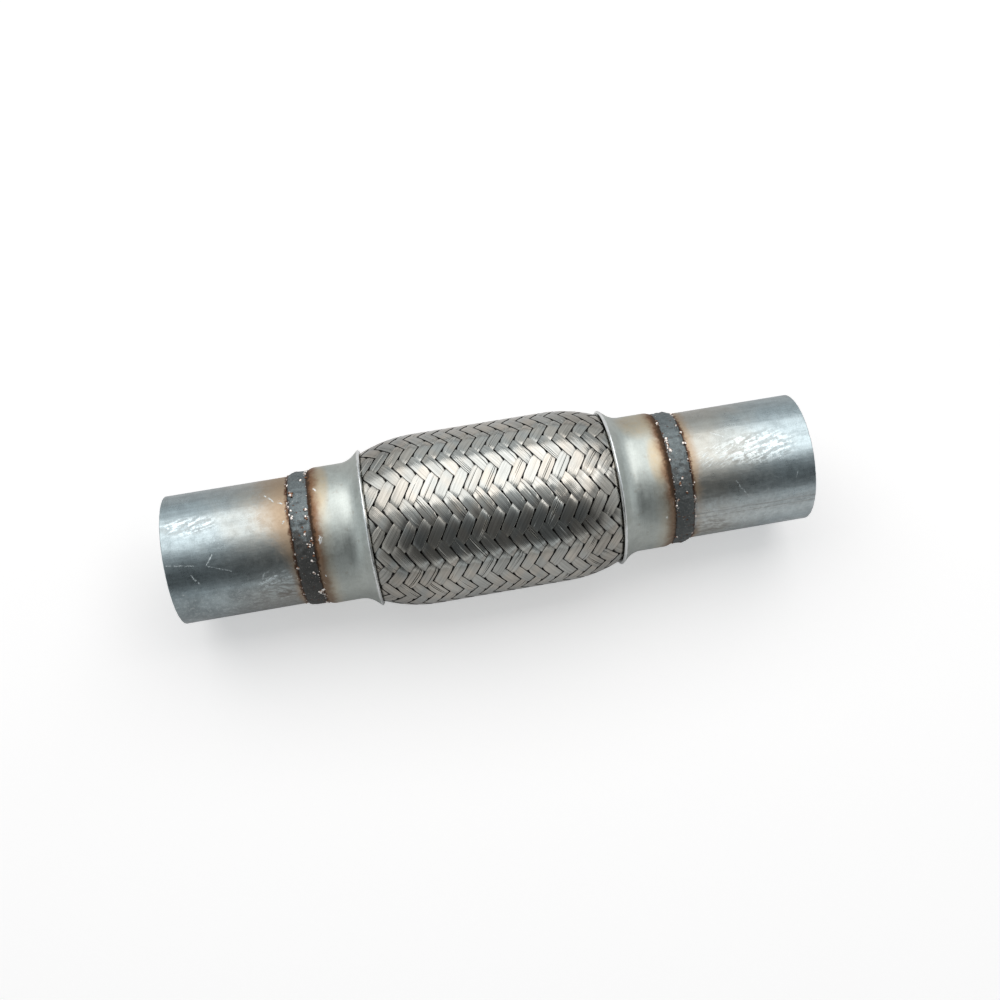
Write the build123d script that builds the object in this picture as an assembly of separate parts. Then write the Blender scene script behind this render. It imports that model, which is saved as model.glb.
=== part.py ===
from build123d import *
from math import acos, cos, floor, pi, radians, sin, sqrt
import os

# An exhaust flex pipe: a woven steel braid over a bellows and a liner, held between two end
# caps that are welded to short extension pipes. It lies along X, its middle at the origin.
# All sizes are in millimetres. Each end is drawn once, for +X, and mirrored for -X.

# Whole pipe
total_length = 240.0
flex_length = 140.0
seat_gap = 0.1

# Extension pipes
pipe_od = 48.5
pipe_wall = 1.5
pipe_insert = 5.0

# End caps: a rolled shoulder, a straight neck, and a mouth that flares over the braid
cap_wall = 1.0
cap_step = 0.8
cap_neck_start = 6.6
cap_neck_end = 16.0
cap_shoulder_radius = 4.4
cap_mouth_edge = 0.6
cap_flare_radius = 8.5
cap_flare_turn = 41.0
cap_lip_rise = 3.95

# Weld beads, one round each pipe where it meets its cap
weld_width = 7.6
weld_overlap = 4.0
weld_crown = 1.1
weld_toe = 0.05
weld_penetration = 0.3

# Braid: a barrel of flat wire bundles that go over two and under two
braid_rise = 2.6
braid_shoulder = 21.3
braid_mouth_gap = 0.55
braid_wall = 0.7
braid_neck_wall = 0.75
braid_tuck = 0.6
braid_release = 5.0
bundle_count = 24
bundle_angle = 58.0
weave_relief = 0.6
weave_turn = 21.0
weave_shift = 0.6
float_edge = 0.09
float_dip = 0.3
gap_width = 0.9
gap_depth = 4.2
gap_rings = 2

# Bellows: the gas-tight wall, folded where the braid is wide enough to hold the folds
bellows_wall = 0.35
bellows_clearance = 1.5
bellows_root_rise = 0.4
bellows_folds = 8
bellows_end_gap = 5.8

# Liner: the folded strip that guides the gas past the bellows
liner_wall = 1.35

# Worked out from the sizes above
half_length = total_length / 2
half_flex = flex_length / 2
pipe_radius = pipe_od / 2
pipe_bore = pipe_radius - pipe_wall
pipe_end = half_flex - pipe_insert
fused_radius = pipe_radius - weld_penetration
weld_cap_side = half_flex - weld_overlap
weld_pipe_side = weld_cap_side + weld_width
seat_radius = pipe_radius + cap_step
neck_radius = seat_radius + cap_wall
lip_radius = neck_radius + cap_lip_rise
braid_radius = lip_radius + braid_rise
neck_outer_x = half_flex - cap_neck_start
neck_inner_x = half_flex - cap_neck_end
shoulder_centre_r = neck_radius - cap_shoulder_radius
flare_centre_r = neck_radius + cap_flare_radius
flare_inner_radius = cap_flare_radius + cap_wall
sleeve_end = pipe_end - seat_gap
braid_neck_radius = seat_radius - seat_gap
braid_neck_bore = braid_neck_radius - braid_neck_wall
braid_depth = weave_relief + braid_wall
cuff_radius = braid_neck_bore - seat_gap
liner_radius = cuff_radius - bellows_wall - seat_gap
liner_bore = liner_radius - liner_wall
row_count = 2 * bundle_count
row_angle = 2 * pi / row_count
cell_side = braid_radius * row_angle / sin(radians(bundle_angle))


def turned(*edges):
    """The solid that a closed outline, drawn as X against radius, makes as it turns about X."""
    return revolve(make_face(edges), axis=Axis.X, revolution_arc=360)


def outline(*points):
    """A closed outline of straight edges."""
    return Polyline(*points, close=True)


def shoulder_point(turn):
    """A point on the cap's shoulder, turned from straight up towards the pipe."""
    along = cap_shoulder_radius * sin(turn)
    return neck_outer_x + along, shoulder_centre_r + cap_shoulder_radius * cos(turn)


def flare_point(radius, turn):
    """A point on an arc about the flare's centre, turned from straight down towards the middle."""
    swing = radians(turn)
    return neck_inner_x - radius * sin(swing), flare_centre_r - radius * cos(swing)


def flare_arc(radius, turn):
    """The arc of the flare, from the neck."""
    return ThreePointArc(
        flare_point(radius, 0), flare_point(radius, turn / 2), flare_point(radius, turn)
    )


def flare_lip(radius):
    """Where the straight lip that carries on from the flare's arc ends."""
    swing = radians(cap_flare_turn)
    rise = lip_radius - flare_point(cap_flare_radius, cap_flare_turn)[1]
    x, r = flare_point(radius, cap_flare_turn)
    return x - rise / sin(swing) * cos(swing), r + rise


def extension_pipe():
    """The straight pipe that a clamp or a weld joins to the exhaust line.

    The bead has melted into its end, so it is a little thinner there.
    """
    return turned(
        outline(
            (pipe_end, pipe_bore),
            (half_length, pipe_bore),
            (half_length, pipe_radius),
            (weld_pipe_side, pipe_radius),
            (weld_pipe_side, fused_radius),
            (pipe_end, fused_radius),
        )
    )


def end_cap():
    """The rolled collar that holds the braid, the bellows and the liner on the pipe's end."""
    mouth_r = fused_radius + cap_mouth_edge
    mouth_turn = acos((mouth_r - shoulder_centre_r) / cap_shoulder_radius)
    mouth = shoulder_point(mouth_turn)
    return turned(
        ThreePointArc(mouth, shoulder_point(mouth_turn / 2), shoulder_point(0)),
        Line(shoulder_point(0), flare_point(cap_flare_radius, 0)),
        flare_arc(cap_flare_radius, cap_flare_turn),
        Polyline(
            flare_point(cap_flare_radius, cap_flare_turn),
            flare_lip(cap_flare_radius),
            flare_lip(flare_inner_radius),
            flare_point(flare_inner_radius, cap_flare_turn),
        ),
        flare_arc(flare_inner_radius, cap_flare_turn),
        Polyline(
            (neck_inner_x, seat_radius),
            (pipe_end, seat_radius),
            (pipe_end, fused_radius),
            (mouth[0], fused_radius),
            mouth,
        ),
    )


def weld_bead(cap):
    """The bead that fills the corner between the pipe and the cap's shoulder."""
    reach = weld_cap_side - neck_outer_x
    toe_r = shoulder_centre_r + sqrt(cap_shoulder_radius**2 - reach**2) + weld_toe
    middle = (weld_cap_side + weld_width / 2, pipe_radius + weld_crown)
    bead = turned(
        ThreePointArc((weld_pipe_side, pipe_radius), middle, (weld_cap_side, toe_r)),
        Polyline(
            (weld_cap_side, toe_r),
            (weld_cap_side, fused_radius),
            (weld_pipe_side, fused_radius),
            (weld_pipe_side, pipe_radius),
        ),
    )
    return (bead - cap).solids().sort_by(SortBy.VOLUME)[-1]


lip_x = flare_lip(cap_flare_radius)[0]
lip_inside_r = lip_radius - cap_wall / cos(radians(cap_flare_turn))
barrel_half = lip_x - braid_shoulder
barrel_drop = braid_radius - (lip_inside_r - braid_mouth_gap)
barrel_arc = (braid_shoulder**2 + barrel_drop**2) / (2 * barrel_drop)
barrel_centre_r = braid_radius - barrel_arc
weave_end = lip_x + braid_tuck


def shoulder_run(x):
    """How far x is past the braid's straight middle, up to one cell past the cap's lip."""
    return min(max(0.0, abs(x) - barrel_half), braid_shoulder + cell_side)


def barrel_r(x, depth=0.0):
    """The braid's radius at x, or that of a surface some depth under it."""
    return barrel_centre_r + sqrt((barrel_arc - depth) ** 2 - shoulder_run(x) ** 2)


def column_x(column):
    """Where a column of the weave stands, for a whole number of half pitches from the middle.

    The bundles don't stretch, so each cell keeps its side: where the braid is narrower, the
    rows are closer and the columns stand further apart.
    """
    x = weave_shift
    for _ in range(abs(column)):
        across = barrel_r(x) * row_angle
        along = sqrt(cell_side**2 - across**2)
        slope = shoulder_run(x) / barrel_arc
        x += along * sqrt(1 - slope**2) * (1 if column > 0 else -1)
    return x


def weave_point(row, column, depth):
    """A point of the weave, by its row round the pipe and its column along it."""
    low = floor(column)
    x = column_x(low) + (column - low) * (column_x(low + 1) - column_x(low))
    angle = radians(weave_turn) + row * row_angle
    r = barrel_r(x, depth)
    return Vector(x, r * cos(angle), r * sin(angle))


def float_facets(row, column, mirrored):
    """The facets of one float, where a bundle lies over two others, and its outline's corners.

    A float is two cells long. Its outline lies down at the gaps of the weave, and its flat top
    is set in from that, by more at the ends, where the bundle dips under the next ones.
    """
    sides = [(0, 0), (1, 0), (2, 0), (2, 1), (1, 1), (0, 1)]
    tops = [(s, t) for s in (float_dip, 2 - float_dip) for t in (float_edge, 1 - float_edge)]
    spots = [(3 - along - across, along - across) for along, across in sides + tops]
    places = [(row + (5 - r if mirrored else r), column + c) for r, c in spots]
    depths = [weave_relief] * len(sides) + [0.0] * len(tops)
    a, b, c, d, e, f, a_top, f_top, c_top, d_top = [
        weave_point(r, c, depth) for (r, c), depth in zip(places, depths)
    ]
    triangles = [(f, a, a_top), (f, a_top, f_top), (c, d, d_top), (c, d_top, c_top)]
    triangles += [(a, b, a_top), (b, c_top, a_top), (b, c, c_top)]
    triangles += [(d, e, d_top), (e, f_top, d_top), (e, f, f_top)]
    triangles += [(a_top, c_top, d_top), (a_top, d_top, f_top)]
    return triangles, [(r % row_count, c) for r, c in places[: len(sides)]]


def woven_barrel():
    """A log with the woven surface, closed by a point beyond each end and then cut to length."""
    reach = 2
    while column_x(reach - 2) < weave_end or column_x(2 - reach) > -weave_end:
        reach += 1
    facets = []
    rim = {}
    for band in range(0, row_count, 4):
        for column in range(-reach, reach):
            triangles, corners = float_facets(band, column, column % 2 == 0)
            facets += triangles
            for pair in zip(corners, corners[1:] + corners[:1]):
                key = frozenset(pair)
                rim[key] = None if key in rim else pair
    for pair in filter(None, rim.values()):
        side = 1 if pair[0][1] > 0 else -1
        edge = [weave_point(r, c, weave_relief) for r, c in pair]
        facets.append((*edge, Vector(side * flex_length, 0, 0)))
    faces = [Face(Wire.make_polygon(corners)) for corners in facets]
    return Solid(Shell(faces)) & Cylinder(2 * braid_radius, 2 * weave_end, rotation=(0, 90, 0))


def neck_plug():
    """The solid end of the braid, drawn in under the flare and down into the neck."""
    arc_turn = cap_flare_turn - braid_release
    radius = flare_inner_radius + seat_gap
    foot_r = barrel_r(weave_end, weave_relief + braid_wall / 2)
    return turned(
        flare_arc(radius, arc_turn),
        Polyline(
            flare_point(radius, arc_turn),
            (lip_x, foot_r),
            (lip_x, 0),
            (sleeve_end, 0),
            (sleeve_end, braid_neck_radius),
            (neck_inner_x, braid_neck_radius),
        ),
    )


def braid_hollow():
    """The space inside one half of the braid."""
    arc_turn = cap_flare_turn - braid_release
    radius = flare_inner_radius + seat_gap + braid_neck_wall
    middle = (barrel_half + lip_x) / 2
    shoulder = [(x, barrel_r(x, braid_depth)) for x in (barrel_half, middle, lip_x)]
    return turned(
        ThreePointArc(*shoulder),
        Line(shoulder[-1], flare_point(radius, arc_turn)),
        flare_arc(radius, arc_turn),
        Polyline(
            (neck_inner_x, braid_neck_bore),
            (sleeve_end, braid_neck_bore),
            (sleeve_end, 0),
            (0, 0),
            (0, barrel_r(0, braid_depth)),
            shoulder[0],
        ),
    )


def weave_gaps():
    """The gaps that open in the weave next to each cap, as pegs through the wall."""
    pegs = []
    for side in (-1, 1):
        last = 0
        while abs(column_x(side * (last + 1))) < lip_x - gap_width:
            last += 1
        for column in range(last - gap_rings + 1, last + 1):
            for row in range(column % 2, row_count, 2):
                centre = weave_point(row, side * column, weave_relief)
                outward = Vector(0, centre.Y, centre.Z)
                plane = Plane(origin=centre, x_dir=(1, 0, 0), z_dir=outward)
                pegs.append(plane * Rot(0, 0, 45) * Box(gap_width, gap_width, gap_depth))
    return pegs


def woven_braid():
    """The braid, one wall with a woven face, open at both ends."""
    plug = neck_plug()
    hollow = braid_hollow()
    body = woven_barrel() + [plug, mirror(plug, about=Plane.YZ)]
    return body - [hollow, mirror(hollow, about=Plane.YZ)] - weave_gaps()


def folded_bellows():
    """The corrugated tube, as two zigzag lines a wall apart, with a plain cuff at each end."""
    crest_r = braid_radius - braid_depth - bellows_clearance
    root_r = cuff_radius + bellows_root_rise
    half_pitch = (lip_x - bellows_end_gap) / (bellows_folds + 1)
    start = -bellows_folds * half_pitch
    slope = (crest_r - root_r) / half_pitch
    across = bellows_wall * sqrt(1 + slope**2)
    turns = range(2 * bellows_folds + 1)
    folds = [(start + i * half_pitch, crest_r if i % 2 else root_r) for i in turns]
    outer = [(-sleeve_end, cuff_radius), (start - half_pitch, cuff_radius), *folds]
    outer += [(half_pitch - start, cuff_radius), (sleeve_end, cuff_radius)]
    inner_r = cuff_radius - bellows_wall
    inner = [(-sleeve_end, inner_r), (start - half_pitch, inner_r)]
    inner += [(x, r - across) for x, r in folds]
    inner += [(half_pitch - start, inner_r), (sleeve_end, inner_r)]
    return turned(outline(*outer, *reversed(inner)))


def gas_liner():
    """The liner, as one tube."""
    ring = [(-sleeve_end, liner_bore), (sleeve_end, liner_bore)]
    ring += [(sleeve_end, liner_radius), (-sleeve_end, liner_radius)]
    return turned(outline(*ring))


outlet_pipe = extension_pipe()
outlet_cap = end_cap()
outlet_weld = weld_bead(outlet_cap)
pieces = {
    "inlet_pipe": mirror(outlet_pipe, about=Plane.YZ),
    "inlet_weld": mirror(outlet_weld, about=Plane.YZ),
    "inlet_cap": mirror(outlet_cap, about=Plane.YZ),
    "braid": woven_braid(),
    "bellows": folded_bellows(),
    "interlock_liner": gas_liner(),
    "outlet_cap": outlet_cap,
    "outlet_weld": outlet_weld,
    "outlet_pipe": outlet_pipe,
}

os.makedirs("parts", exist_ok=True)
for name, piece in pieces.items():
    export_step(piece, f"parts/{name}.step")
    print(name, len(piece.solids()), "solid,", len(piece.faces()), "faces,", f"{piece.volume:.0f} mm3")
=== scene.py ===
"""Studio scene of an exhaust flex pipe: a braided coupling between two welded extension pipes.

Each piece is modelled in millimetres along X, from the same sizes as the solids, and scaled to
metres once its mesh is done. The surfaces are procedural and stand on Object coordinates, or on
the UV map of the wires.
"""

from __future__ import annotations

import logging
import math
import random
from dataclasses import dataclass, field
from enum import Enum
from typing import Any, Sequence, Union

import bmesh
import bpy
from mathutils import Matrix, Vector, noise

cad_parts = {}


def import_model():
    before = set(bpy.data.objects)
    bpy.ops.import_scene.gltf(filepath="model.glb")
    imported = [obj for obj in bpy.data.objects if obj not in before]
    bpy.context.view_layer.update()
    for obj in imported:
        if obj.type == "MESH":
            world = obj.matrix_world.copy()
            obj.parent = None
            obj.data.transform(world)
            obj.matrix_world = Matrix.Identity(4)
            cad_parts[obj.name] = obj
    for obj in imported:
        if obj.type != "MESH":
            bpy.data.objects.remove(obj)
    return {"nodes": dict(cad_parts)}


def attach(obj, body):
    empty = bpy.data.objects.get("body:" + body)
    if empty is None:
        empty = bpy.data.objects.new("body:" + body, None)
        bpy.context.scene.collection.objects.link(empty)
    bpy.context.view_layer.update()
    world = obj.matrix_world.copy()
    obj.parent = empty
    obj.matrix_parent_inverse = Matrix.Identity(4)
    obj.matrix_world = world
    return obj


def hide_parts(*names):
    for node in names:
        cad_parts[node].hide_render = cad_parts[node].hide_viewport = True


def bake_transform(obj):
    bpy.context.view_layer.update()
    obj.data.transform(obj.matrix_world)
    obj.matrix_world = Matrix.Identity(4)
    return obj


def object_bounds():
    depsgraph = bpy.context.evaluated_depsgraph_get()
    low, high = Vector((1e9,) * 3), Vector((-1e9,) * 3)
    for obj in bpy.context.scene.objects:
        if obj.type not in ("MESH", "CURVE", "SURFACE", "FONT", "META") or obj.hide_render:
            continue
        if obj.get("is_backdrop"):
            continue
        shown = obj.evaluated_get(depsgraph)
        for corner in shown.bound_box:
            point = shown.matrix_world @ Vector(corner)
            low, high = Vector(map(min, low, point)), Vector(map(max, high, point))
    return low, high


log = logging.getLogger("flex_pipe")

MM = 0.001
Point = tuple[float, float]
Number = Union[float, int]
Colour = tuple[float, float, float]
Triple = tuple[float, float, float]

# Where a one-sided share is gone, and where it starts to go, in radians from the top
SIDE_FADE: Point = (3.1, 2.3)


class End(Enum):
    """Which end of the flex pipe a piece belongs to, and the way that it points along X."""

    INLET = -1
    OUTLET = 1

    @property
    def body(self) -> str:
        """The body that the pieces of this end ride on."""
        return "inlet_end" if self is End.INLET else "outlet_end"

    @property
    def label(self) -> str:
        """The first word of the names of this end's pieces."""
        return self.name.lower()

    def facing(self, line: Sequence[Point]) -> list[Point]:
        """A section that is given for the +X end, as it stands at this end."""
        return [(x * self.value, r) for x, r in line]


class Winding(Enum):
    """The two families of bundles, by the way that they climb round the braid."""

    FALLING = -1
    RISING = 1


# Shader maths


class Value:
    """A socket in a node tree, with Python's arithmetic on it."""

    def __init__(self, home: "Tree", socket: bpy.types.NodeSocket) -> None:
        """Wraps one output socket of a tree."""
        self.home = home
        self.socket = socket

    def _math(self, operation: str, *values: "Value | Number") -> "Value":
        """A Math node on the given values, in their order."""
        return self.home.node("ShaderNodeMath", {"operation": operation}, dict(enumerate(values)))

    def __add__(self, other: "Value | Number") -> "Value":
        """Sum."""
        return self._math("ADD", self, other)

    def __radd__(self, other: Number) -> "Value":
        """Sum, reflected."""
        return self._math("ADD", other, self)

    def __sub__(self, other: "Value | Number") -> "Value":
        """Difference."""
        return self._math("SUBTRACT", self, other)

    def __rsub__(self, other: Number) -> "Value":
        """Difference, reflected."""
        return self._math("SUBTRACT", other, self)

    def __mul__(self, other: "Value | Number") -> "Value":
        """Product."""
        return self._math("MULTIPLY", self, other)

    def __rmul__(self, other: Number) -> "Value":
        """Product, reflected."""
        return self._math("MULTIPLY", other, self)

    def __truediv__(self, other: "Value | Number") -> "Value":
        """Quotient."""
        return self._math("DIVIDE", self, other)

    def __abs__(self) -> "Value":
        """Size without sign."""
        return self._math("ABSOLUTE", self)

    def floor(self) -> "Value":
        """The whole number at or below."""
        return self._math("FLOOR", self)

    def least(self, other: "Value | Number") -> "Value":
        """The lesser of two."""
        return self._math("MINIMUM", self, other)

    def most(self, other: "Value | Number") -> "Value":
        """The greater of two."""
        return self._math("MAXIMUM", self, other)

    def ease(self, low: float, high: float) -> "Value":
        """0 up to low, 1 past high, and smooth in between; low may be the greater of the two.

        Args:
            low: Where the result is 0.
            high: Where the result is 1.

        Returns:
            The eased value.
        """
        flip = low > high
        ends = {1: min(low, high), 2: max(low, high), 3: 1.0 if flip else 0.0, 4: 0.0 if flip else 1.0}
        settings = {"interpolation_type": "SMOOTHSTEP"}
        return self.home.node("ShaderNodeMapRange", settings, {0: self, **ends})


class Tree:
    """A node tree under construction, of a material or of the world."""

    def __init__(self, tree: bpy.types.NodeTree) -> None:
        """Takes up a tree."""
        self.tree = tree

    def node(
        self,
        kind: str,
        settings: dict[str, Any] | None = None,
        inputs: dict[Any, Any] | None = None,
        output: int | str = 0,
    ) -> Value:
        """Adds any node that has an output.

        Args:
            kind: The node's type.
            settings: Its properties, set before the sockets.
            inputs: Values or links, by the socket's number or name.
            output: The output socket to hand back.

        Returns:
            The chosen output.
        """
        made = self.tree.nodes.new(kind)
        for key, setting in (settings or {}).items():
            setattr(made, key, setting)
        for key, value in (inputs or {}).items():
            self.plug(made.inputs[key], value)
        return Value(self, made.outputs[output])

    def plug(self, socket: bpy.types.NodeSocket, value: Any) -> None:
        """Links or sets one input socket; a colour gets its alpha here."""
        if isinstance(value, Value):
            self.tree.links.new(value.socket, socket)
        elif isinstance(value, tuple) and len(value) == 3 and len(socket.default_value) == 4:
            socket.default_value = (*value, 1.0)
        else:
            socket.default_value = value

    def split(self, vector: Value) -> tuple[Value, Value, Value]:
        """The three parts of a vector."""
        made = self.tree.nodes.new("ShaderNodeSeparateXYZ")
        self.plug(made.inputs[0], vector)
        return tuple(Value(self, out) for out in made.outputs)

    def rays(self) -> list[Value]:
        """Whether a ray comes from the camera, from a reflection, or through glass: 1 or 0 each."""
        kinds = ("Is Camera Ray", "Is Glossy Ray", "Is Transmission Ray")
        return [self.node("ShaderNodeLightPath", output=kind) for kind in kinds]


class Paint(Tree):
    """A material under construction: its tree, its surface shader and its coordinates."""

    def __init__(self, name: str) -> None:
        """Makes the material with a bare Principled surface."""
        self.material = bpy.data.materials.new(name)
        self.material.use_nodes = True
        super().__init__(self.material.node_tree)
        self.shader = self.tree.nodes["Principled BSDF"]
        where = self.tree.nodes.new("ShaderNodeTexCoord")
        self.place = Value(self, where.outputs["Object"])
        self.uv = Value(self, where.outputs["UV"])

    def surface(self, **sockets: Any) -> bpy.types.Material:
        """Sets the shader's sockets, named with _ for a space, and hands back the material."""
        for key, value in sockets.items():
            self.plug(self.shader.inputs[key.replace("_", " ")], value)
        return self.material

    def axes(self) -> tuple[Value, Value, Value]:
        """The place on the object, in millimetres, along each axis."""
        return tuple(part * (1 / MM) for part in self.split(self.place))

    def vector(self, x: Any, y: Any, z: Any) -> Value:
        """Three values as one vector."""
        return self.node("ShaderNodeCombineXYZ", None, {0: x, 1: y, 2: z})

    def noise(self, where: Value, scale: float, detail: float = 3.0, rough: float = 0.55) -> Value:
        """Cloudy noise between 0 and 1.

        Args:
            where: The coordinates.
            scale: Clouds per unit of the coordinates.
            detail: Octaves of finer noise.
            rough: How strong the finer octaves are.

        Returns:
            The noise.
        """
        sockets = {"Vector": where, "Scale": scale, "Detail": detail, "Roughness": rough}
        return self.node("ShaderNodeTexNoise", None, sockets)

    def chance(self, number: Value) -> Value:
        """A random value between 0 and 1 for each number."""
        return self.node("ShaderNodeTexWhiteNoise", {"noise_dimensions": "1D"}, {"W": number})

    def mix(self, share: Any, first: Any, second: Any) -> Value:
        """Two colours mixed by a share of the second.

        Args:
            share: 0 for the first colour, 1 for the second.
            first: A colour or a link.
            second: A colour or a link.

        Returns:
            The colour.
        """
        settings = {"data_type": "RGBA", "clamp_factor": True}
        return self.node("ShaderNodeMix", settings, {0: share, 6: first, 7: second}, 2)

    def shade(self, colour: Any, brightness: Value) -> Value:
        """A colour made lighter or darker by a value round 1."""
        sockets = {0: colour, "Scale": brightness}
        return self.node("ShaderNodeVectorMath", {"operation": "SCALE"}, sockets)

    def bump(self, height: Value, distance: float) -> Value:
        """The normal of a surface raised by a height.

        Args:
            height: How high, between 0 and 1.
            distance: How far 1 stands proud, in millimetres.

        Returns:
            The normal.
        """
        sockets = {"Height": height, "Distance": distance * MM, "Strength": 1.0}
        return self.node("ShaderNodeBump", None, sockets)


class Ground:
    """Where a finish lies on a round piece: along X, round the piece, and in the noise."""

    def __init__(self, paint: Paint, radius: float, shift: float) -> None:
        """Works out the coordinates.

        Args:
            paint: The material.
            radius: The piece's radius, in millimetres.
            shift: How far the noise is moved along X, so that no two pieces look alike.
        """
        self.x, self.y, self.z = paint.axes()
        self.angle = paint.node("ShaderNodeMath", {"operation": "ARCTAN2"}, {0: self.y, 1: self.z})
        self.arc = self.angle * radius
        self.where = paint.vector(self.x + shift, self.y, self.z)


# Mesh helpers


class Form:
    """A mesh under construction, in millimetres, with X along the pipe."""

    def __init__(self) -> None:
        """Starts an empty mesh."""
        self.bm = bmesh.new()

    def turn(
        self,
        line: Sequence[Point],
        steps: int,
        closed: bool = True,
        turns: float = 1.0,
        pitch: float = 0.0,
    ) -> None:
        """Turns a line, given as X against radius, about the pipe's axis.

        Args:
            line: The points of the line.
            steps: Steps in each turn.
            closed: Whether the last point joins the first.
            turns: How many times it goes round.
            pitch: How far it moves along X in each turn.
        """
        verts = [self.bm.verts.new((x, 0.0, r)) for x, r in line]
        pairs = list(zip(verts, verts[1:])) + ([(verts[-1], verts[0])] if closed else [])
        edges = [self.bm.edges.new(pair) for pair in pairs]
        bmesh.ops.spin(
            self.bm,
            geom=verts + edges,
            axis=(1, 0, 0),
            cent=(0, 0, 0),
            dvec=(pitch / steps, 0, 0),
            angle=2 * math.pi * turns,
            steps=round(steps * turns),
            use_merge=pitch == 0.0,
            use_duplicate=False,
        )

    def spot(self, place: Vector, size: Point, turn: float, outward: Vector, slot: int) -> None:
        """Adds a small blob, such as a drop of spatter, pressed flat against the surface.

        Args:
            place: Its middle.
            size: Half its length and half its width; it is as high as wide.
            turn: Which way its length points, in radians.
            outward: The way the surface faces there.
            slot: Which of the object's materials it takes.
        """
        made = bmesh.ops.create_icosphere(self.bm, subdivisions=1, radius=1.0)["verts"]
        turned = outward.to_track_quat("Z", "Y").to_matrix() @ Matrix.Rotation(turn, 3, "Z")
        bmesh.ops.scale(self.bm, vec=(size[0], size[1], size[1]), verts=made)
        bmesh.ops.transform(self.bm, matrix=turned.to_4x4(), verts=made)
        bmesh.ops.translate(self.bm, vec=place, verts=made)
        for face in {face for vert in made for face in vert.link_faces}:
            face.material_index = slot

    def finish(self, name: str, material: bpy.types.Material, crease: float = 40.0) -> bpy.types.Object:
        """Makes the object, in metres, with its creases kept sharp.

        Args:
            name: The object's name.
            material: Its finish.
            crease: The angle, in degrees, past which an edge stays sharp.

        Returns:
            The object, linked into the scene.
        """
        bmesh.ops.remove_doubles(self.bm, verts=self.bm.verts, dist=1e-5)
        bmesh.ops.recalc_face_normals(self.bm, faces=self.bm.faces)
        for face in self.bm.faces:
            face.smooth = True
        for edge in self.bm.edges:
            edge.smooth = edge.calc_face_angle(0.0) < math.radians(crease)
        bmesh.ops.scale(self.bm, vec=(MM, MM, MM), verts=self.bm.verts)
        mesh = bpy.data.meshes.new(name)
        self.bm.to_mesh(mesh)
        self.bm.free()
        mesh.materials.append(material)
        return into_scene(name, mesh)


def into_scene(name: str, data: Any) -> bpy.types.Object:
    """Makes an object from a mesh, a light or a camera, and links it into the scene."""
    made = bpy.data.objects.new(name, data)
    bpy.context.scene.collection.objects.link(made)
    return made


def aim(thing: bpy.types.Object, way: Vector) -> None:
    """Turns a lamp or the camera to look along a direction, without roll."""
    thing.rotation_mode = "QUATERNION"
    thing.rotation_quaternion = way.to_track_quat("-Z", "Y")


def around(x: float, radius: float, angle: float) -> Vector:
    """A point at a radius from the pipe's axis, by its angle from +Y towards +Z."""
    return Vector((x, radius * math.cos(angle), radius * math.sin(angle)))


# Sizes


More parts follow.
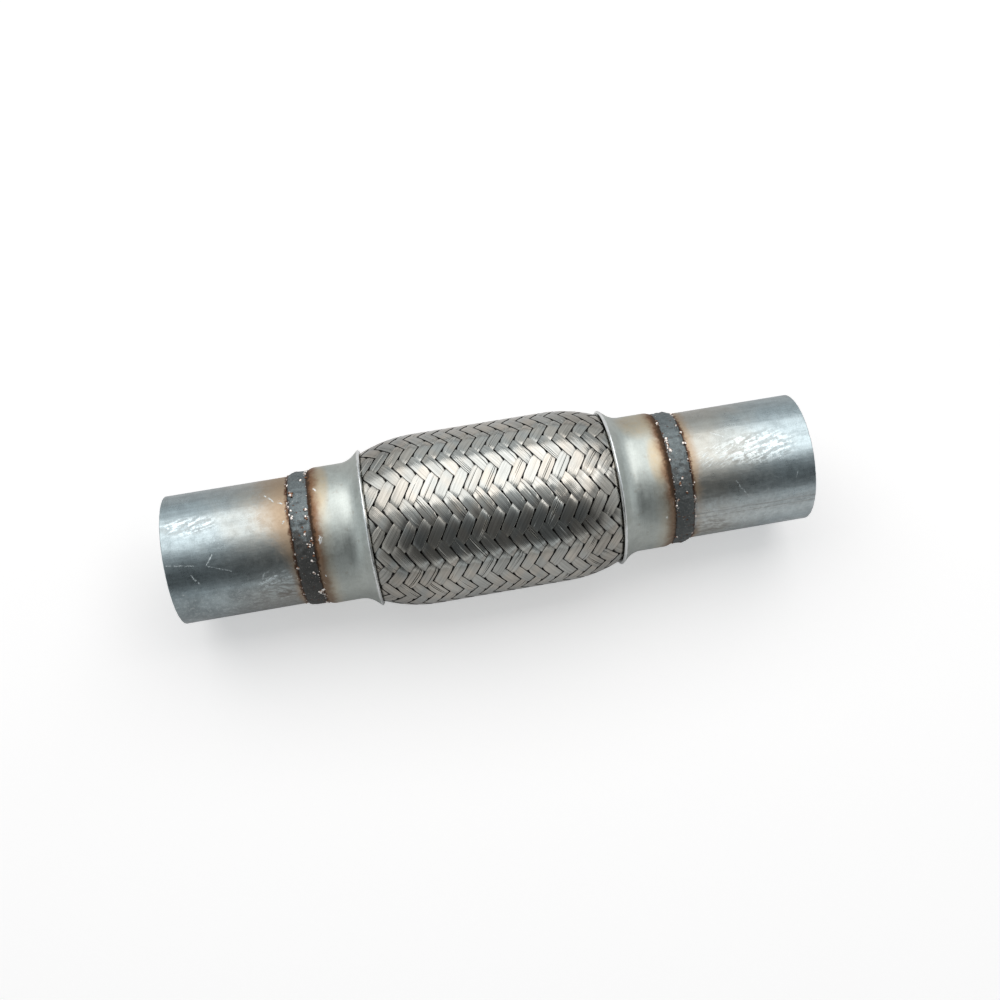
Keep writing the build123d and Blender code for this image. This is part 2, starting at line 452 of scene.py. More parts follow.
@dataclass(frozen=True)
class Sizes:
    """The sizes that the pieces share, in millimetres and degrees, as in the solids."""

    half_length: float = 120.0
    half_flex: float = 70.0
    seat_gap: float = 0.1
    pipe_radius: float = 24.25
    pipe_wall: float = 1.5
    pipe_insert: float = 5.0
    cap_wall: float = 1.0
    cap_step: float = 0.8
    cap_neck_start: float = 6.6
    cap_neck_end: float = 16.0
    cap_shoulder_radius: float = 4.4
    cap_mouth_edge: float = 0.6
    cap_flare_radius: float = 8.5
    cap_flare_turn: float = 41.0
    cap_lip_rise: float = 3.95
    weld_width: float = 7.6
    weld_overlap: float = 4.0
    weld_crown: float = 1.1
    weld_penetration: float = 0.3
    braid_rise: float = 2.6
    braid_shoulder: float = 21.3
    braid_mouth_gap: float = 0.55
    braid_wall: float = 0.7
    braid_neck_wall: float = 0.75
    weave_relief: float = 0.6
    bellows_wall: float = 0.35
    bellows_clearance: float = 1.5
    bellows_root_rise: float = 0.4
    bellows_folds: int = 8
    bellows_end_gap: float = 5.8
    liner_wall: float = 1.35
    bend_reach: float = 46.0

    @property
    def pipe_end(self) -> float:
        """Where a pipe ends inside its cap."""
        return self.half_flex - self.pipe_insert

    @property
    def sleeve_end(self) -> float:
        """Where the bellows and the liner end, short of the pipe."""
        return self.pipe_end - self.seat_gap

    @property
    def weld_cap_edge(self) -> float:
        """The bead's edge on the cap."""
        return self.half_flex - self.weld_overlap

    @property
    def weld_pipe_edge(self) -> float:
        """The bead's edge on the pipe."""
        return self.weld_cap_edge + self.weld_width

    @property
    def weld_middle(self) -> float:
        """The middle of the bead."""
        return self.weld_cap_edge + self.weld_width / 2

    @property
    def flare_inside(self) -> float:
        """The radius of the flare's arc on the cap's inside."""
        return self.cap_flare_radius + self.cap_wall

    @property
    def lip_x(self) -> float:
        """Where the cap's lip ends."""
        return self.lip(self.cap_flare_radius)[0]

    @property
    def fused_radius(self) -> float:
        """The pipe's radius under the weld."""
        return self.pipe_radius - self.weld_penetration

    @property
    def seat_radius(self) -> float:
        """The inside of the cap's neck."""
        return self.pipe_radius + self.cap_step

    @property
    def neck_radius(self) -> float:
        """The outside of the cap's neck."""
        return self.seat_radius + self.cap_wall

    @property
    def lip_radius(self) -> float:
        """The cap's greatest radius."""
        return self.neck_radius + self.cap_lip_rise

    @property
    def braid_radius(self) -> float:
        """The braid's greatest radius."""
        return self.lip_radius + self.braid_rise

    @property
    def cuff_radius(self) -> float:
        """The outside of the bellows' plain cuffs."""
        return self.seat_radius - self.braid_neck_wall - 2 * self.seat_gap

    @property
    def liner_radius(self) -> float:
        """The outside of the liner."""
        return self.cuff_radius - self.bellows_wall - self.seat_gap

    def shoulder(self, turn: float) -> Point:
        """A point on the cap's shoulder, turned from straight up towards the pipe, in radians."""
        radius = self.cap_shoulder_radius
        x = self.half_flex - self.cap_neck_start + radius * math.sin(turn)
        return x, self.neck_radius - radius + radius * math.cos(turn)

    def flare(self, radius: float, turn: float) -> Point:
        """A point on an arc of the flare, turned from straight down, in degrees."""
        swing = math.radians(turn)
        x = self.half_flex - self.cap_neck_end - radius * math.sin(swing)
        return x, self.neck_radius + self.cap_flare_radius - radius * math.cos(swing)

    def lip(self, radius: float) -> Point:
        """Where the straight lip past an arc of the flare ends."""
        swing = math.radians(self.cap_flare_turn)
        rise = self.lip_radius - self.flare(self.cap_flare_radius, self.cap_flare_turn)[1]
        x, r = self.flare(radius, self.cap_flare_turn)
        return x - rise / math.tan(swing), r + rise


# Finishes


@dataclass(frozen=True)
class Mark:
    """A straight scratch or scuff, between two places given along X and round the pipe."""

    start: Point
    end: Point
    width: float
    strength: float

    def on(self, x: Value, arc: Value, wear: Value | Number = 1.0) -> Value:
        """Draws the mark.

        Args:
            x: Place along X, in millimetres.
            arc: Place round the surface, in millimetres.
            wear: Noise that breaks the mark up.

        Returns:
            The mark's strength on the mark, 0 off it.
        """
        run, climb = self.end[0] - self.start[0], self.end[1] - self.start[1]
        length = max(run * run + climb * climb, 1e-4)
        off_x, off_arc = x - self.start[0], arc - self.start[1]
        part = ((off_x * (run / length)) + (off_arc * (climb / length))).most(0.0).least(1.0)
        far_x, far_arc = off_x - part * run, off_arc - part * climb
        off = (far_x * far_x + far_arc * far_arc).ease(self.width**2, self.width**2 * 0.2)
        return off * self.strength * wear


@dataclass(frozen=True)
class Patch:
    """An oval part of a surface, given along X and round it, that fades out at its edge."""

    centre: Point
    reach: Point

    def on(self, x: Value, arc: Value) -> Value:
        """Draws the patch: 1 in its middle, 0 past its edge."""
        off_x = (x - self.centre[0]) * (1 / self.reach[0])
        off_arc = (arc - self.centre[1]) * (1 / self.reach[1])
        return (off_x * off_x + off_arc * off_arc).ease(1.0, 0.15)


def one_side(angle: Value, low: float, high: float) -> Value:
    """A share that grows with the angle from the top and is gone again at the bottom.

    Args:
        angle: The angle from +Z towards +Y, in radians.
        low: Where the share is 0.
        high: Where it is 1; below low, the share grows towards -Y.

    Returns:
        The share.
    """
    way = 1.0 if high > low else -1.0
    return angle.ease(low, high) * angle.ease(SIDE_FADE[0] * way, SIDE_FADE[1] * way)


def streaks(paint: Paint, x: Value, arc: Value, turn: float, size: Point, seed: float) -> Value:
    """Straight parallel streaks on a surface.

    Args:
        paint: The material.
        x: Place along X, in millimetres.
        arc: Place round the surface, in millimetres.
        turn: The streaks' slant from X, in degrees.
        size: How long and how wide they are, in millimetres.
        seed: Picks the pattern.

    Returns:
        Noise between 0 and 1, drawn out along the slant.
    """
    swing = math.radians(turn)
    along = (x * math.cos(swing) + arc * math.sin(swing)) * (1 / size[0])
    across = (arc * math.cos(swing) - x * math.sin(swing)) * (1 / size[1])
    return paint.noise(paint.vector(along, across, seed), 1.0, 2.0, 0.5)


@dataclass(frozen=True)
class MillSteel:
    """Bare rolled pipe: blue-grey, finely mottled and scratched, with a tan heat tint by the weld."""

    end: End
    tint_reach: float
    tint_fades: Point
    seam_angle: float
    seam_light: float
    dull: float
    marks: tuple[Mark, ...]
    scuffs: Patch
    smudge: Patch
    polish: Patch
    cool: Colour = (0.376, 0.44, 0.46)
    plain: Colour = (0.395, 0.44, 0.445)
    tan: Colour = (0.36, 0.22, 0.11)
    burnt: Colour = (0.1, 0.05, 0.03)
    soot: Colour = (0.16, 0.135, 0.115)
    grime: Colour = (0.145, 0.165, 0.17)
    haze: Colour = (0.42, 0.37, 0.3)
    rust: Colour = (0.14, 0.07, 0.04)
    seam: Colour = (0.1, 0.085, 0.075)
    scraped: Colour = (0.71, 0.765, 0.77)

    def material(self, sizes: Sizes) -> bpy.types.Material:
        """Builds the finish for a pipe of these sizes."""
        paint = Paint(f"{self.end.label}_mill_steel")
        on = Ground(paint, sizes.pipe_radius, 31.0 * self.end.value)
        past = on.x * self.end.value - sizes.weld_pipe_edge
        clouds = paint.noise(on.where, 0.1, 3.0, 0.5).ease(0.3, 0.7)
        mottle = paint.noise(on.where, 0.6, 5.0, 0.7).ease(0.32, 0.68)
        speckle = paint.noise(on.where, 2.6, 3.0, 0.7).ease(0.3, 0.7)
        bloom = paint.noise(on.where, 0.3, 6.0, 0.75).ease(0.47, 0.56)
        drawn = paint.noise(paint.vector(on.x * 0.04, on.y, on.z), 1.0, 4.0, 0.6).ease(0.3, 0.7)
        across = paint.vector(on.x * 1.3, on.y * 0.15, on.z * 0.15)
        rubbed = paint.noise(across, 1.5, 3.0, 0.6).ease(0.3, 0.7)

        tone = 0.65 + 0.1 * clouds + 0.18 * mottle + 0.23 * speckle + 0.13 * drawn + 0.06 * rubbed
        tone = tone - 0.17 * bloom
        colour = paint.mix(past.ease(6.0, 40.0), self.plain, self.cool)
        colour = paint.shade(colour, tone)
        colour = self._dirty(paint, on, colour, past, clouds)
        colour, tinted = self._tint(paint, on, colour, past, clouds, mottle)
        colour, seam = self._seam(paint, on, colour, sizes.pipe_radius, clouds, mottle)

        # On a patch on top of the pipe, where its highlight falls, bright and dark strokes are painted:
        # partly polish marks, partly painted highlight
        strokes = streaks(paint, on.x, on.arc, 17.0, (5.5, 1.4), 17.0) + 0.26 * (mottle - 0.5)
        polish = self.polish.on(on.x, on.arc)
        polish_and_highlight = strokes.ease(0.52, 0.55) * polish
        colour = paint.mix(polish_and_highlight * 0.45, colour, self.scraped)
        colour = paint.mix(strokes.ease(0.47, 0.43) * polish * 0.3, colour, self.soot)
        smears = streaks(paint, on.x, on.arc, -12.0, (3.0, 1.2), 51.0).ease(0.4, 0.6)
        dirt = self.smudge.on(on.x, on.arc) * smears
        colour = paint.mix(dirt * 0.5, colour, self.soot)
        scratched = self._scratches(paint, on, mottle, speckle)
        colour = paint.mix(scratched, colour, self.scraped)

        rough = 0.255 + 0.03 * mottle + 0.05 * clouds + 0.02 * speckle + 0.05 * bloom + 0.12 * dirt
        rough = rough - 0.08 * polish_and_highlight + 0.16 * tinted + 0.3 * scratched
        grain = paint.noise(on.where, 1.4, 2.0, 0.5)
        dents = paint.noise(paint.vector(on.x * 0.35, on.y, on.z), 0.2, 2.0, 0.4)
        fine = 0.016 * grain + 0.006 * drawn - 0.004 * scratched - 0.02 * seam
        height = fine + 0.16 * dents + 0.055 * strokes * polish
        return paint.surface(
            Base_Color=colour, Metallic=1.0, Roughness=rough, Normal=paint.bump(height, 1.0)
        )

    def _dirty(self, paint: Paint, on: Ground, colour: Value, past: Value, clouds: Value) -> Value:
        """Adds grit all over, and grime with bare flecks on the lower side.

        Args:
            paint: The material.
            on: The pipe's coordinates.
            colour: The colour so far.
            past: How far a place lies past the weld, in millimetres.
            clouds: Broad noise.

        Returns:
            The colour.
        """
        grit = paint.noise(on.where, 2.7, 2.0, 0.6).ease(0.64, 0.72)
        colour = paint.mix(grit * 0.12, colour, self.soot)
        under = one_side(on.angle + 0.3 * (clouds - 0.5), -0.95, -1.45)
        grime = paint.mix(past.ease(8.0, 36.0), self.soot, self.grime)
        colour = paint.mix(under * self.dull, colour, grime)
        flecks = paint.noise(on.where, 0.8, 5.0, 0.75).ease(0.5, 0.62)
        flecks = flecks * one_side(on.angle, -0.65, -1.0)
        return paint.mix(flecks * self.dull * 0.5, colour, self.scraped)

    def _tint(
        self, paint: Paint, on: Ground, colour: Value, past: Value, clouds: Value, mottle: Value
    ) -> tuple[Value, Value]:
        """Adds the heat tint, the burnt edge and the rust by the weld.

        Args:
            paint: The material.
            on: The pipe's coordinates.
            colour: The colour so far.
            past: How far a place lies past the weld, in millimetres.
            clouds: Broad noise.
            mottle: Finer noise.

        Returns:
            The colour, and how far the tan tint covers it.
        """
        wander = 0.6 + 0.8 * paint.noise(on.where, 0.12, 3.0) + 0.25 * (mottle - 0.5)
        upper = one_side(on.angle, *self.tint_fades) * 0.8 + 0.2
        tinted = (past / (wander * upper * self.tint_reach)).ease(1.0, 0.1)
        colour = paint.mix(tinted * (0.55 + 0.45 * upper), colour, self.tan)
        haze = (past - 10.0 * (clouds - 0.5)).ease(34.0, 6.0) * upper
        colour = paint.mix(haze * 0.5, colour, self.haze)
        colour = paint.mix((past - 0.9 * mottle).ease(0.8, -0.3) * 0.95, colour, self.burnt)
        rust = paint.noise(on.where, 1.6, 3.0, 0.7).ease(0.63, 0.7) * past.ease(6.0, 0.5)
        return paint.mix(rust * 0.45, colour, self.rust), tinted

    def _seam(
        self, paint: Paint, on: Ground, colour: Value, radius: float, clouds: Value, mottle: Value
    ) -> tuple[Value, Value]:
        """Adds the pipe's rolled seam, two fine lines with rubbed metal beside them.

        Args:
            paint: The material.
            on: The pipe's coordinates.
            colour: The colour so far.
            radius: The pipe's radius, in millimetres.
            clouds: Broad noise.
            mottle: Finer noise.

        Returns:
            The colour, and how far the seam covers it.
        """
        off = abs(on.angle - self.seam_angle) * radius
        grain = streaks(paint, on.x, on.arc, 0.0, (9.0, 0.32), 4.0)
        lines = abs(off + 0.25 * (clouds - 0.5) - 1.05).ease(0.4, 0.15)
        seam = (off.ease(3.4, 2.0) * grain.ease(0.48, 0.6) * 0.7).most(lines)
        colour = paint.mix(seam * (0.55 + 0.4 * mottle), colour, self.seam)
        beside = off.ease(12.0, 4.0) * self.seam_light * (0.4 + 0.6 * mottle)
        return paint.mix(beside, colour, self.scraped), seam

    def _scratches(self, paint: Paint, on: Ground, mottle: Value, speckle: Value) -> Value:
        """Draws the pipe's own marks, fine scratches all over, and a scuffed patch.

        Args:
            paint: The material.
            on: The pipe's coordinates.
            mottle: Noise that frays the marks.
            speckle: Finer noise that frays them too.

        Returns:
            How far the scratches cover the surface.
        """
        fuzz_x = on.x + 0.35 * (mottle - 0.5)
        fuzz_arc = on.arc + 0.35 * (mottle + speckle - 1.0)
        wear = paint.noise(on.where, 1.3, 2.0, 0.6).ease(0.36, 0.56)
        scratched: Value | float = 0.0
        for mark in self.marks:
            scratched = mark.on(fuzz_x, fuzz_arc, wear).most(scratched)
        for turn, seed in ((28.0, 2.0), (-35.0, 7.0), (8.0, 12.0)):
            lines = streaks(paint, on.x, on.arc, turn, (7.0, 0.3), seed).ease(0.72, 0.78)
            scratched = (lines * 0.55).most(scratched)
        rubs = streaks(paint, on.x, on.arc, 24.0, (2.6, 0.5), 31.0).ease(0.5, 0.66)
        return (rubs * self.scuffs.on(on.x, on.arc) * 0.6).most(scratched)


@dataclass(frozen=True)
class SatinStainless:
    """Drawn stainless cap: satin grey, brushed round, straw and brown by the weld, bright at the lip,
    where the cut edge has a painted highlight.
    """

    end: End
    straw_patches: tuple[Patch, ...]
    marks: tuple[Mark, ...]
    char: float
    base: Colour = (0.478, 0.508, 0.48)
    straw: Colour = (0.5, 0.385, 0.235)
    brown: Colour = (0.2, 0.088, 0.036)
    pale_brown: Colour = (0.22, 0.14, 0.088)
    burnt: Colour = (0.105, 0.067, 0.045)
    stain: Colour = (0.27, 0.22, 0.165)
    bright_scratch_and_highlight: Colour = (0.86, 0.88, 0.88)

    def material(self, sizes: Sizes) -> bpy.types.Material:
        """Builds the finish for a cap of these sizes."""
        paint = Paint(f"{self.end.label}_satin_stainless")
        on = Ground(paint, sizes.neck_radius, 17.0 * self.end.value)
        x, arc, where = on.x, on.arc, on.where
        inward = sizes.weld_cap_edge - x * self.end.value
        brushed = paint.vector(x * 3.0, on.y * 0.08, on.z * 0.08)
        rings = paint.noise(brushed, 1.0, 4.0, 0.65).ease(0.3, 0.7)
        clouds = paint.noise(where, 0.14, 4.0, 0.6).ease(0.3, 0.7)
        mottle = paint.noise(where, 0.7, 5.0, 0.7).ease(0.3, 0.7)
        fine = paint.noise(where, 3.4, 2.0, 0.6).ease(0.3, 0.7)
        tone = 0.74 + 0.16 * clouds + 0.08 * rings + 0.12 * mottle + 0.08 * fine
        colour = paint.shade(self.base, tone)

        straw: Value | float = 0.0
        for patch in self.straw_patches:
            straw = patch.on(x, arc).most(straw)
        colour = paint.mix(straw * (0.35 + 0.3 * mottle), colour, self.straw)
        wander = 3.0 * (paint.noise(where, 0.2, 3.0) - 0.5) + 0.7 * (mottle - 0.5)
        depth = inward + wander
        colour = paint.mix(depth.ease(8.5, 2.5) * 0.4, colour, self.straw)
        low = one_side(on.angle, -0.4, -0.9)
        brown = paint.mix(low, self.brown, self.pale_brown)
        colour = paint.mix(depth.ease(5.0, 1.2) * 0.88, colour, brown)
        near = inward + 0.9 * (mottle - 0.5) + 0.4 * wander + 0.5 * self.char * low
        charred = near.ease(self.char, 0.15 * self.char)
        colour = paint.mix(charred, colour, self.burnt)
        stains = paint.noise(where, 0.4, 4.0, 0.7).ease(0.58, 0.7)
        colour = paint.mix(stains * 0.3, colour, self.stain)

        scratched: Value | float = 0.0
        fuzz_x = x + 0.6 * (mottle - 0.5)
        fuzz_arc = arc + 0.6 * (fine - 0.5)
        for mark in self.marks:
            scratched = mark.on(fuzz_x, fuzz_arc).most(scratched)
        for turn, seed in ((80.0, 3.0), (-50.0, 9.0)):
            lines = streaks(paint, x, arc, turn, (6.0, 0.28), seed).ease(0.72, 0.78)
            scratched = (lines * 0.35).most(scratched)
        # Painted highlight: a bright line along the lip's cut edge; the same bright colour marks the
        # scratches
        lip = x * self.end.value - sizes.lip_x
        edge = (lip - 0.4 * (mottle - 0.5)).ease(0.6, 0.25)
        colour = paint.mix(scratched, colour, self.bright_scratch_and_highlight)
        colour = paint.mix(edge * (0.7 + 0.4 * clouds), colour, self.bright_scratch_and_highlight)

        rough = 0.42 + 0.07 * mottle + 0.1 * depth.ease(4.0, 1.0) + 0.04 * rings - 0.2 * edge
        rough = rough + 0.3 * charred - 0.09 * inward.ease(9.5, 13.5)
        height = 0.6 * rings + 0.4 * mottle + 0.2 * fine - 0.5 * scratched
        return paint.surface(
            Base_Color=colour, Metallic=1.0, Roughness=rough, Normal=paint.bump(height, 0.014)
        )


@dataclass(frozen=True)
class WeldScale:
    """Oxidised bead: slate grey, browner and darker on one side from soot and painted shade, with
    painted glints, pits and burnt edges.
    """

    end: End
    soot_and_shade_side: Point
    soot_and_shade_share: float
    slate: Colour = (0.165, 0.19, 0.195)
    soot_and_shade: Colour = (0.058, 0.05, 0.044)
    burnt: Colour = (0.05, 0.027, 0.017)
    pale: Colour = (0.46, 0.44, 0.41)
    pitted: Colour = (0.13, 0.065, 0.04)

    def material(self, sizes: Sizes) -> bpy.types.Material:
        """Builds the finish for a bead of these sizes."""
        paint = Paint(f"{self.end.label}_weld_scale")
        on = Ground(paint, sizes.pipe_radius, 5.0 * self.end.value)
        off = abs(on.x * self.end.value - sizes.weld_middle)
        lumps = paint.noise(on.where, 0.45, 4.0, 0.6)
        grain = paint.noise(on.where, 2.4, 3.0, 0.7).ease(0.3, 0.7)
        colour = paint.shade(self.slate, 0.5 + 0.5 * lumps + 0.45 * grain)
        # Soot and painted shade: the side towards -Y, turned away from the key light, is darkened
        dark = one_side(on.angle + 1.6 * (lumps - 0.5), *self.soot_and_shade_side)
        colour = paint.mix(dark * self.soot_and_shade_share, colour, self.soot_and_shade)
        # Painted glints: pale specks in the colour that stand in for sparkle off the scale
        glints = paint.noise(on.where, 1.7, 2.0, 0.6)
        colour = paint.mix(glints.ease(0.64, 0.72) * 0.8, colour, self.pale)
        pits = paint.noise(paint.vector(on.x, on.y + 50.0, on.z), 0.7, 2.0, 0.5).ease(0.66, 0.7)
        colour = paint.mix(pits * 0.85, colour, self.pitted)
        edge = (off + 0.5 * (grain - 0.5) + 1.6 * (lumps - 0.5)).ease(3.1, 3.8)
        colour = paint.mix(edge, colour, self.burnt)
        rough = 0.4 + 0.12 * grain + 0.08 * dark
        height = 0.35 * lumps + 0.4 * grain - 1.2 * pits
        return paint.surface(
            Base_Color=colour, Metallic=0.9, Roughness=rough, Normal=paint.bump(height, 0.15)
        )


@dataclass(frozen=True)
class Spatter:
    """Drops of bright metal thrown out by the welding, some of them browned."""

    end: End
    bright: Colour = (0.86, 0.8, 0.75)
    browned: Colour = (0.2, 0.1, 0.06)

    def material(self) -> bpy.types.Material:
        """Builds the finish."""
        paint = Paint(f"{self.end.label}_spatter")
        x, y, z = paint.axes()
        share = paint.noise(paint.vector(x, y, z), 0.8, 1.0).ease(0.5, 0.56)
        colour = paint.mix(share, self.bright, self.browned)
        return paint.surface(Base_Color=colour, Metallic=1.0, Roughness=0.3)


@dataclass(frozen=True)
class DrawnWire:
    """Stainless wire of the braid, each wire a little lighter or darker than the next, with painted
    shade where it lies deep.
    """

    base: Colour = (0.468, 0.474, 0.45)
    warm: Colour = (0.495, 0.465, 0.415)
    shade: Colour = (0.028, 0.026, 0.024)
    stride: int = 16

    def material(self) -> bpy.types.Material:
        """Builds the finish.

        U runs along a wire. V counts the wires, with a stride from one bundle to the next that is
        more than a bundle has. A second map holds the depth, which darkens the colour towards the
        shade colour: painted shade in the under-runs, the grooves and the slits.

        Returns:
            The material.
        """
        paint = Paint("drawn_wire")
        along, across, _ = paint.split(paint.uv)
        depth, _, _ = paint.split(paint.node("ShaderNodeUVMap", {"uv_map": "depth"}))
        wire = across.floor()
        bundle = (across * (1 / self.stride)).floor()
        by_wire = paint.chance(wire + 0.37)
        by_bundle = paint.chance(bundle + 0.71)
        drift = paint.noise(paint.vector(along * 0.12, across * 0.7, 0.0), 1.0, 3.0, 0.6)
        floats = paint.noise(paint.vector(along * 0.14, bundle * 3.7, 5.0), 1.0, 1.0)
        x, y, z = paint.axes()
        clouds = paint.noise(paint.vector(x, y, z), 0.06, 3.0, 0.6)
        by_cap = (abs(x) + 14.0 * (clouds - 0.5)).ease(22.0, 38.0)
        tone = 0.34 + 0.22 * by_wire + 0.12 * by_bundle + 0.5 * drift + 0.34 * floats - 0.2 * by_cap
        warmth = (floats + 0.5 * clouds + 0.1 * by_cap).ease(0.62, 0.92)
        colour = paint.shade(paint.mix(warmth, self.base, self.warm), tone)
        # Painted shade: the deeper the depth map says a wire lies, the nearer its colour goes to the
        # shade colour
        colour = paint.mix(depth.ease(0.3, 1.0) * 0.97, colour, self.shade)
        rough = 0.07 + 0.04 * by_wire + 0.06 * drift + 0.08 * depth + 0.07 * by_cap
        return paint.surface(Base_Color=colour, Metallic=1.0, Roughness=rough)


@dataclass(frozen=True)
class RolledStainless:
    """Plain rolled strip, for the bellows and the liner inside."""

    name: str
    base: Colour = (0.42, 0.41, 0.39)

    def material(self) -> bpy.types.Material:
        """Builds the finish."""
        paint = Paint(self.name)
        x, y, z = paint.axes()
        clouds = paint.noise(paint.vector(x, y, z), 0.2, 4.0, 0.6)
        rings = paint.noise(paint.vector(x * 2.0, y * 0.1, z * 0.1), 1.0, 3.0, 0.6)
        colour = paint.shade(self.base, 0.75 + 0.35 * clouds + 0.2 * (rings - 0.5))
        return paint.surface(Base_Color=colour, Metallic=1.0, Roughness=0.3 + 0.15 * clouds)


# Pieces


@dataclass
class ExtensionPipe:
    """A straight pipe at one end, which a clamp or a weld joins to the exhaust line."""

    end: End
    sizes: Sizes
    finish: MillSteel
    steps: int = 180
    rim_break: float = 0.22
    rings: int = 12
    nick: float = 0.16
    nick_scale: float = 0.6

    def build(self) -> bpy.types.Object:
        """Models the pipe, its rim broken, and dresses it.

        Returns:
            The pipe's object.
        """
        s = self.sizes
        bore = s.pipe_radius - s.pipe_wall
        edge = s.weld_pipe_edge
        end, rim = s.half_length, self.rim_break
        run = [edge + (end - rim - edge) * i / self.rings for i in range(self.rings + 1)]
        line = [(s.pipe_end, bore), (end - rim, bore), (end, bore + rim), (end, s.pipe_radius - rim)]
        line += [(x, s.pipe_radius) for x in reversed(run)]
        line += [(edge, s.fused_radius), (s.pipe_end, s.fused_radius)]
        form = Form()
        form.turn(self.end.facing(line), self.steps)
        scale = self.nick_scale
        for vert in form.bm.verts:
            if abs(vert.co.x) > end - rim - 0.01:
                bite = noise.noise(Vector((self.end.value * 9.0, vert.co.y * scale, vert.co.z * scale)))
                vert.co.x -= self.end.value * self.nick * max(0.0, bite)
        made = form.finish(f"{self.end.label}_pipe_body", self.finish.material(s))
        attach(made, self.end.body)
        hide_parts(f"{self.end.label}_pipe")
        return made


@dataclass
class EndCap:
    """The drawn collar that holds the braid, the bellows and the liner on the pipe's end."""

    end: End
    sizes: Sizes
    finish: SatinStainless
    steps: int = 144
    arc_steps: int = 12
    lip_break: float = 0.16

    def outline(self) -> list[Point]:
        """The cap's section, as X against radius, for the +X end.

        Returns:
            The points of the closed line.
        """
        s = self.sizes
        mouth_r = s.fused_radius + s.cap_mouth_edge
        centre_r = s.neck_radius - s.cap_shoulder_radius
        mouth_turn = math.acos((mouth_r - centre_r) / s.cap_shoulder_radius)
        inner = s.flare_inside
        parts = range(self.arc_steps + 1)
        shoulder = [s.shoulder(mouth_turn * (1 - i / self.arc_steps)) for i in parts]
        outer_flare = [s.flare(s.cap_flare_radius, s.cap_flare_turn * i / self.arc_steps) for i in parts]
        inner_flare = [s.flare(inner, s.cap_flare_turn * (1 - i / self.arc_steps)) for i in parts]
        lip_out, lip_in = Vector(s.lip(s.cap_flare_radius)), Vector(s.lip(inner))
        edge = (lip_in - lip_out).normalized() * self.lip_break
        out_back = (Vector(outer_flare[-1]) - lip_out).normalized() * self.lip_break
        in_back = (Vector(inner_flare[0]) - lip_in).normalized() * self.lip_break
        lip = [lip_out + out_back, lip_out + edge, lip_in - edge, lip_in + in_back]
        seat = [(s.pipe_end, s.seat_radius), (s.pipe_end, s.fused_radius)]
        seat += [(shoulder[0][0], s.fused_radius)]
        return [*shoulder, *outer_flare, *[tuple(p) for p in lip], *inner_flare, *seat]

    def build(self) -> bpy.types.Object:
        """Models the cap and dresses it.

        Returns:
            The cap's object.
        """
        form = Form()
        form.turn(self.end.facing(self.outline()), self.steps)
        made = form.finish(f"{self.end.label}_cap_shell", self.finish.material(self.sizes))
        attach(made, self.end.body)
        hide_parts(f"{self.end.label}_cap")
        return made


